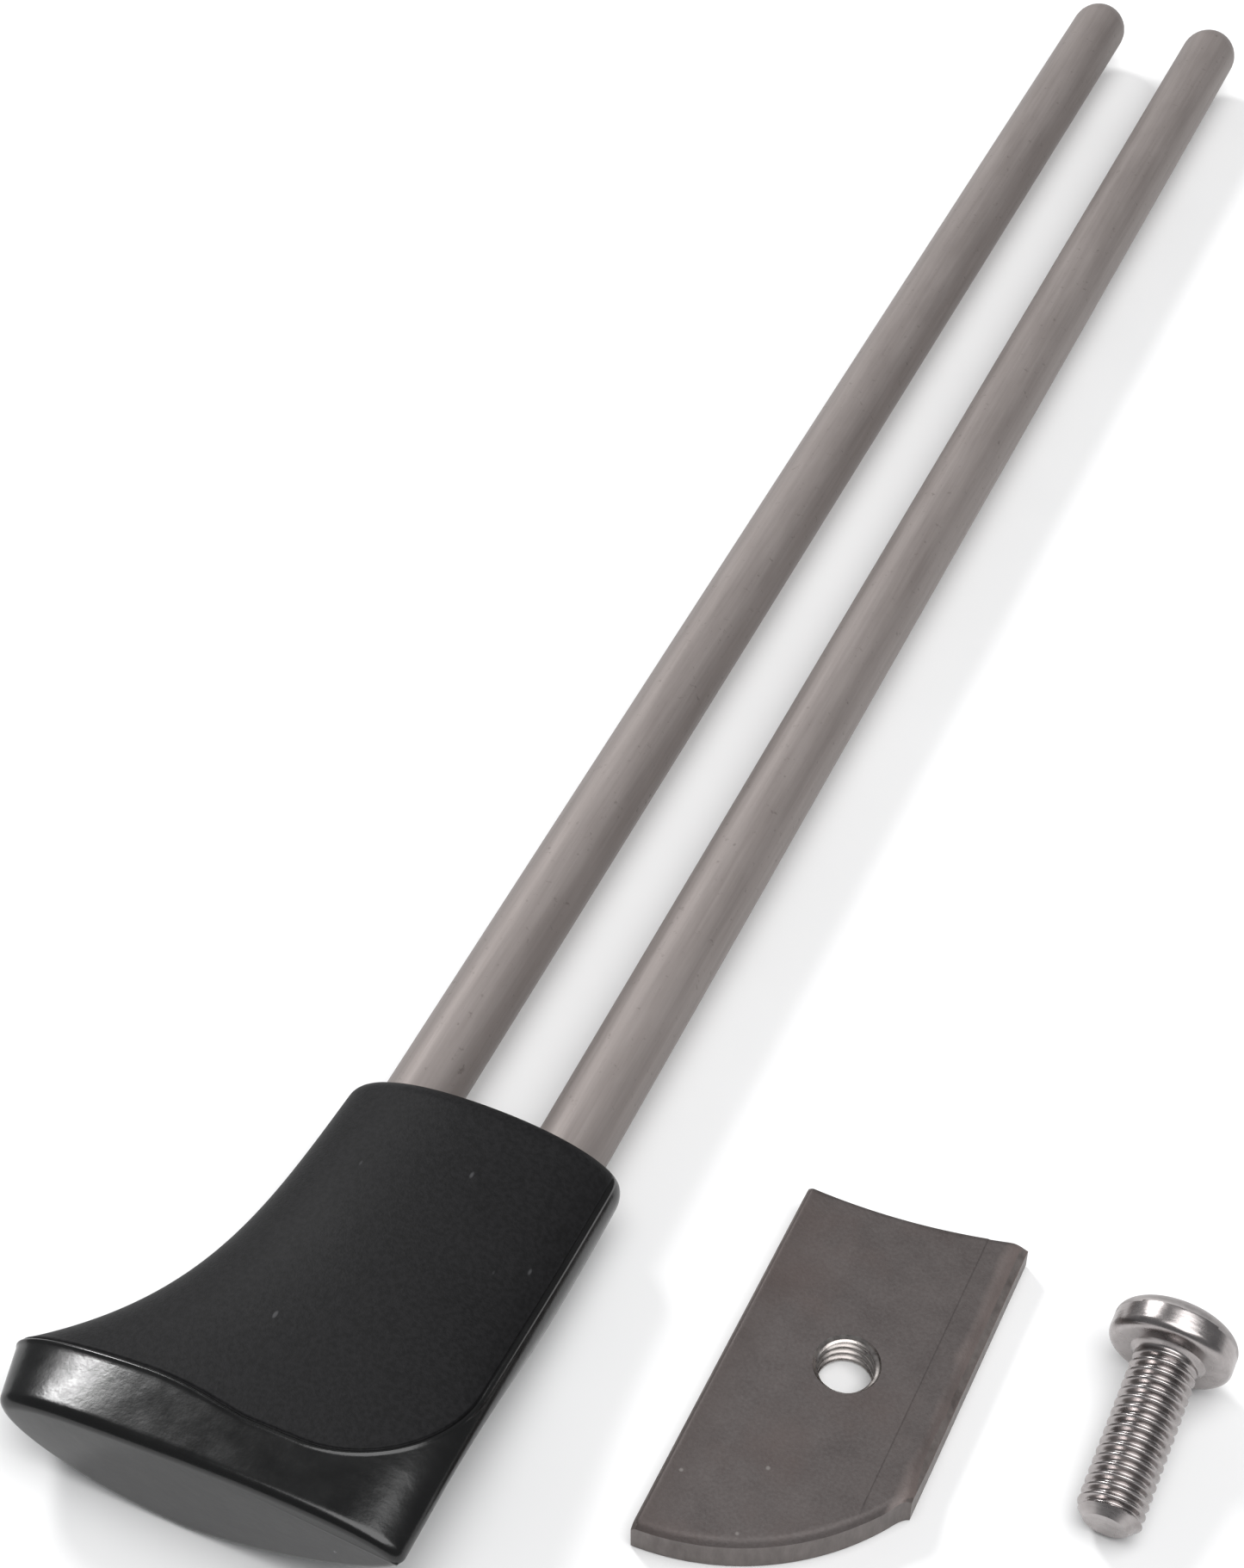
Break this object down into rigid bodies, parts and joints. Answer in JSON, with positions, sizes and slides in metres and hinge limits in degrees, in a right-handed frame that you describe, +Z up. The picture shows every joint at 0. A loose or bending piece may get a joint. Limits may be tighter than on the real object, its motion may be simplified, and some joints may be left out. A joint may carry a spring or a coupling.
{
  "type": "algae scraper head kit",
  "caption": "Moulded foot-shaped scraper head on two parallel steel rods, with a loose tapped clamp plate and its pan-head screw laid beside it.",
  "frame": {"origin": "centre of the laid-out kit's footprint, on the surface it lies on", "axes": "+Y along the rods towards their free ends, +X across the rods towards the loose plate and screw, +Z up"},
  "size_m": [0.0824, 0.2106, 0.0109],
  "materials": {
    "gloss_black": "moulded, semi-gloss",
    "matt_black": "fine matt texture",
    "rod_steel": "drawn, satin",
    "plate_steel": "stamped, oxidised",
    "screw_steel": "bright, rolled thread"
  },
  "bodies": {
    "head": {"foot_core": "gloss_black", "grip_cover": "matt_black", "rod_left": "rod_steel", "rod_right": "rod_steel"},
    "plate": {"clamp_plate": "plate_steel"},
    "screw": {"clamp_screw": "screw_steel"}
  },
  "joints": [
    {"name": "plate_lift", "type": "slide", "parent": "head", "child": "plate", "axis": [0, 0, 1], "range_m": [0, 0.03]},
    {"name": "screw_lift", "type": "slide", "parent": "head", "child": "screw", "axis": [0, 0, 1], "range_m": [0, 0.03]}
  ]
}
